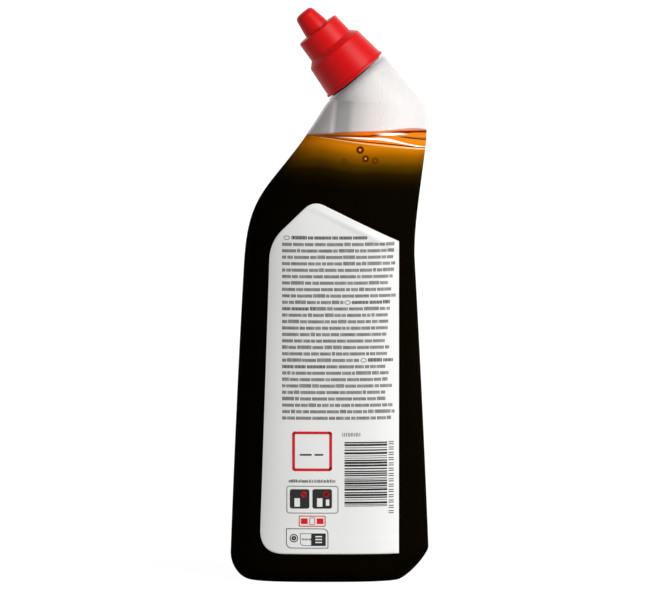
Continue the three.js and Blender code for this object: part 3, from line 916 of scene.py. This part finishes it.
def box_between(left, top, right, bottom):
    """Left, low, right and high of a box given in the photo's pixels."""
    high_left, low_right = photo_place(left, top), photo_place(right, bottom)
    return high_left.x, low_right.y, low_right.x, high_left.y


def ink_finish(name, colour, spread):
    material, tree = new_finish(name)
    where, x, y, z = place_on_object(tree)
    mottle = Value.node(tree, "TexNoise", inputs={"Vector": where, "Scale": 700.0, "Detail": 2.0})
    surface(tree, {"Base Color": mottle.blend(colour, spread), "Roughness": mottle * 0.1 + 0.4,
                   "Specular IOR Level": 0.3})
    return material


black_ink = ink_finish("black_ink", srgb(10, 10, 10), srgb(22, 22, 22))
red_ink = ink_finish("red_ink", srgb(204, 16, 26), srgb(214, 26, 36))
white_ink = ink_finish("white_ink", srgb(232, 232, 230), srgb(240, 240, 238))

# Places of the print, in the photo's pixels: columns of the rows of type, then left, top, right
# and bottom of each box.
type_left_px, type_right_px = 282.5, (384, 396)
first_row_px = (291, 366)
ring_px = {0: 287, 10: 347.5, 19: 363.5}
stripes_px, pair_column_px = (344.5, 442, 387, 508), (388.5, 439, 393.5, 513)
short_row_px = (342.5, 432, 359.5, 436.5)
bar_row_px, square_frame_px = (289, 478.5, 335, 483), (287, 486, 338, 513)
square_px, square_top_px, square_foot_px = ((290, 309.5), (312.5, 332)), 489, 508.5
low_frame_px, low_ring_px = (286.5, 528.5, 328, 548), (289.5, 533, 298.5, 543)
low_panel_px = (300.5, 533.5, 325.5, 545.5)
low_dashes_px, low_block_px = (302, 537.5, 312, 541), (312.5, 533.5, 325.5, 545.5)
red_square_px, red_panel_px = (292.5, 431.5, 332, 471), (299, 515.5, 325.6, 526.5)
stripe_line, pair_line, pair_gap, pairs = 0.33, 0.42, 1.0, 14

small_type = Ink()
bold_parts = {0: (0, 1), 10: (0.57, 1), 11: (0, 0.3), 19: (0.7, 1), 20: (0, 0.43)}
for row in range(type_lines):
    row_px = first_line_px + row * type_line
    start = photo_place(first_row_px[0] if row == 0 else type_left_px, row_px)
    end = photo_place(first_row_px[1] if row == 0 else random.uniform(*type_right_px), row_px)
    bold_start, bold_end = [lerp(start.x, end.x, share) for share in bold_parts.get(row, (2, 2))]
    x, baseline = start.x, start.y - small_height / 2
    ring_x = photo_place(ring_px.get(row, 0), row_px).x
    if row in ring_px:
        ring = [(ring_x + 1.35 * across, start.y + 0.85 * up) for across, up in circle((0, 0), 1)]
        small_type.chain(ring, 0.26)
    while x < end.x - 1:
        height = tall_height if random.random() < 0.2 else small_height
        for _ in range(random.randint(3, 15)):
            if x > end.x or abs(x - ring_x) < 2:
                break
            stroke = random.uniform(0.3, 0.35) * (1.5 if bold_start <= x <= bold_end else 1)
            small_type.bar(x, baseline, stroke, height)
            x += stroke + random.uniform(0.17, 0.23)
        x += random.uniform(0.3, 0.5)
small_type.add("small_type", black_ink)

stripes = Ink()
left, low, right, high = box_between(*stripes_px)
height = high
while height > low + 0.5:
    thick = stripe_line * random.choice((1, 2, 2, 3))
    stripes.bar(left, height - thick, right - left, thick)
    height -= thick + stripe_line * random.choice((1, 1, 2, 2))
left, low, right, high = box_between(*pair_column_px)
for place in range(pairs):
    height = lerp(low, high, place / pairs)
    for rise in (0, pair_gap):
        stripes.bar(left, height + rise, right - left, pair_line)
left, low, right, high = box_between(*short_row_px)
x = left
while x < right:
    stripes.bar(x, low, 0.3, 1.8)
    x += random.uniform(0.65, 0.95)
stripes.add("stripe_panel", black_ink)

signs, marks, red_marks = Ink(), Ink(0.09), Ink(0.09)
left, low, right, high = box_between(*bar_row_px)
x = left
while x < right:
    signs.bar(x, low + 0.2, random.uniform(0.3, 0.5), random.choice((1.2, 1.5)))
    x += random.uniform(0.6, 0.8)
signs.chain(round_box(*box_between(*square_frame_px), (1.2, 1.2, 1.2, 1.2)), 0.32)
for left_px, right_px in square_px:
    left, low, right, high = box_between(left_px, square_top_px, right_px, square_foot_px)
    signs.bar(left + 0.7, low, right - left - 1.4, high - low)
    for side in (left, right - 0.7):
        signs.bar(side, low + 0.7, 0.7, high - low - 1.4)
        for corner in (low + 0.2, high - 0.7):
            signs.bar(side + (0.2 if side == left else 0), corner, 0.5, 0.5)
    marks.bar(left + 2.2, low + 0.9, 2.6, 4.1)
    red_marks.chain(circle((right - 2.7, high - 2.5), 0.75), 1.3)
marks.bar(right - 2.9, low + 1.4, 1.6, 3.0)

signs.chain(round_box(*box_between(*low_frame_px), (2.4, 0.3, 2.4, 0.3)), 0.34)
left, low, right, high = box_between(*low_ring_px)
for radius, line_width in ((1.8, 0.45), (0.7, 0.8)):
    signs.chain(circle(((left + right) / 2, (low + high) / 2), radius), line_width)
signs.chain(round_box(*box_between(*low_panel_px), (1.6, 0.2, 0.2, 0.2)), 0.26)
left, low, right, high = box_between(*low_dashes_px)
for step in range(7):
    signs.bar(lerp(left, right, step / 7), low + 0.4, 0.36, 0.9)
left, low, right, high = box_between(*low_block_px)
signs.bar(left - 0.6, low, right - left + 0.6, high - low)
for share in (0.22, 0.46, 0.7):
    marks.bar(left + 1.4, lerp(low, high, share), 3.2, 0.6)

left, low, right, high = box_between(*red_square_px)
red_marks.chain(round_box(left + 0.6, low + 0.6, right - 0.6, high - 0.6, (0.8, 0.8, 0.8, 0.8)), 1.3)
signs.bar(left + 3.6, low + 7.4, 5.6, 0.8)
signs.bar(left + 10.6, low + 7.4, 4.2, 0.8)
left, low, right, high = box_between(*red_panel_px)
red_marks.chain(round_box(left + 0.2, low + 0.2, right - 0.2, high - 0.2, (0.5, 0.5, 0.5, 0.5)), 0.4)
for block_left in (left + 1.0, right - 4.2):
    red_marks.bar(block_left, low + 1.3, 3.2, high - low - 2.6)
red_marks.chain(round_box(left + 5.2, low + 1.0, right - 5.2, high - 1.0, (0.4, 0.4, 0.4, 0.4)), 0.3)
signs.add("small_signs", black_ink)
red_marks.add("red_signs", red_ink)
marks.add("sign_marks", white_ink)
